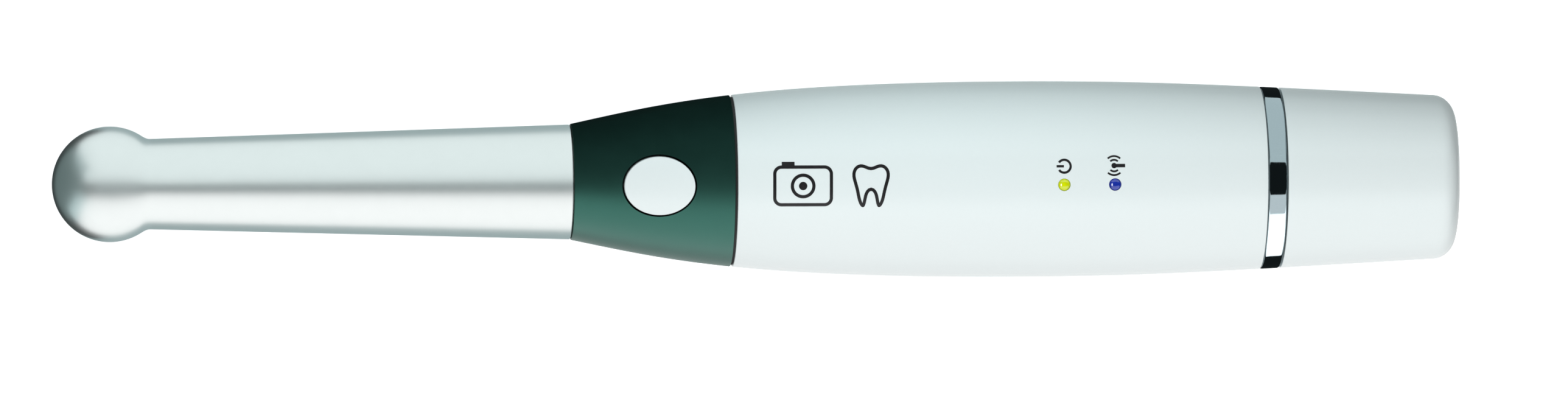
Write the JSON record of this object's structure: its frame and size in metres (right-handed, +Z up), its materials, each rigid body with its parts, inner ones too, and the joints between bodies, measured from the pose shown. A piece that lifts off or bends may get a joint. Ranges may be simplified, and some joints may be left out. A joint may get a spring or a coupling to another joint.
{
  "type": "intraoral camera",
  "caption": "Cordless dental camera wand: slim metal tip with a ball-shaped camera head, dark collar with a capture button, oval white handle, chrome ring and battery cap.",
  "frame": {"origin": "on the table under the belly flat, half way along the object and on its middle plane", "axes": "+X from the camera head to the rear cap, along the longest extent; +Z up, the button side, along the shortest extent; +Y to the left seen from the head"},
  "size_m": [0.21, 0.0292, 0.0256],
  "materials": {
    "satin_aluminium": "bead blasted, anodised",
    "black_anodised": "anodised",
    "clear_glass": "polished",
    "lamp_lens": "moulded clear",
    "led_chip": "moulded",
    "circuit_board": "solder mask",
    "black_plastic": "moulded",
    "sensor_chip": "glossy",
    "flex_circuit": "polyimide film",
    "black_rubber": "moulded",
    "steel_screw": "plated",
    "collar_soft_touch": "soft touch",
    "white_gloss_plastic": "high gloss",
    "grey_silicone": "moulded",
    "grey_plastic": "moulded, glass filled",
    "chip_package": "moulded",
    "shield_can": "tinned",
    "antenna_ceramic": "fired ceramic",
    "polished_chrome": "mirror polished",
    "green_light_pipe": "moulded, translucent",
    "blue_light_pipe": "moulded, translucent",
    "cell_wrap": "shrink film over a metal can",
    "plated_contact": "nickel plated",
    "red_wire": "insulated"
  },
  "bodies": {
    "handpiece": {"tip_shell": "satin_aluminium", "window_bezel": "black_anodised", "window_glass": "clear_glass", "illumination_lenses": "lamp_lens", "illumination_leds": "led_chip", "led_board": "circuit_board", "lens_barrel": "black_anodised", "front_lens": "clear_glass", "rear_lens": "clear_glass", "focus_module": "black_plastic", "camera_carrier": "black_plastic", "image_sensor": "sensor_chip", "sensor_board": "circuit_board", "sensor_ribbon": "flex_circuit", "ribbon_guide": "black_plastic", "tip_seal": "black_rubber", "tip_screws": "steel_screw", "collar_shell": "collar_soft_touch", "collar_seal": "black_rubber", "button_pad": "grey_silicone", "tact_switch": "black_plastic", "switch_board": "circuit_board", "switch_flex": "flex_circuit", "chassis": "grey_plastic", "chassis_screws": "steel_screw", "board_screws": "steel_screw", "main_board": "circuit_board", "video_processor": "chip_package", "memory_chips": "chip_package", "radio_module": "shield_can", "antenna": "antenna_ceramic", "ribbon_connector": "black_plastic", "small_components": "chip_package", "power_components": "chip_package", "lower_casing": "white_gloss_plastic", "upper_casing": "white_gloss_plastic", "casing_screws": "steel_screw", "trim_ring": "polished_chrome", "indicator_board": "circuit_board", "indicator_leds": "led_chip", "indicator_flex": "flex_circuit", "power_light_pipe": "green_light_pipe", "link_light_pipe": "blue_light_pipe", "battery_sleeve": "grey_plastic", "front_contact": "plated_contact", "power_lead": "red_wire", "ground_strip": "plated_contact"},
    "cap": {"rear_cap": "white_gloss_plastic", "cap_seal": "black_rubber", "rear_contact": "plated_contact"},
    "cell": {"battery_cell": "cell_wrap", "battery_terminal": "plated_contact"},
    "button": {"button_cap": "white_gloss_plastic"},
    "plunger": {"switch_plunger": "black_plastic"}
  },
  "joints": [
    {"name": "cap_slide", "type": "slide", "parent": "handpiece", "child": "cap", "axis": [1, 0, 0], "range_m": [0, 0.09]},
    {"name": "cell_slide", "type": "slide", "parent": "handpiece", "child": "cell", "axis": [1, 0, 0], "range_m": [0, 0.054]},
    {"name": "button_press", "type": "slide", "parent": "handpiece", "child": "button", "axis": [0, 0, -1], "range_m": [0, 0.0006], "stiffness_N_per_m": 1500, "springref_m": -0.0004, "deforming": ["button_pad"]},
    {"name": "plunger_press", "type": "slide", "parent": "handpiece", "child": "plunger", "axis": [0, 0, -1], "range_m": [0, 0.0003]}
  ],
  "couplings": [
    {"joint": "cell_slide", "follows": "cap_slide", "ratio": 0.6},
    {"joint": "plunger_press", "follows": "button_press", "ratio": 0.5}
  ]
}
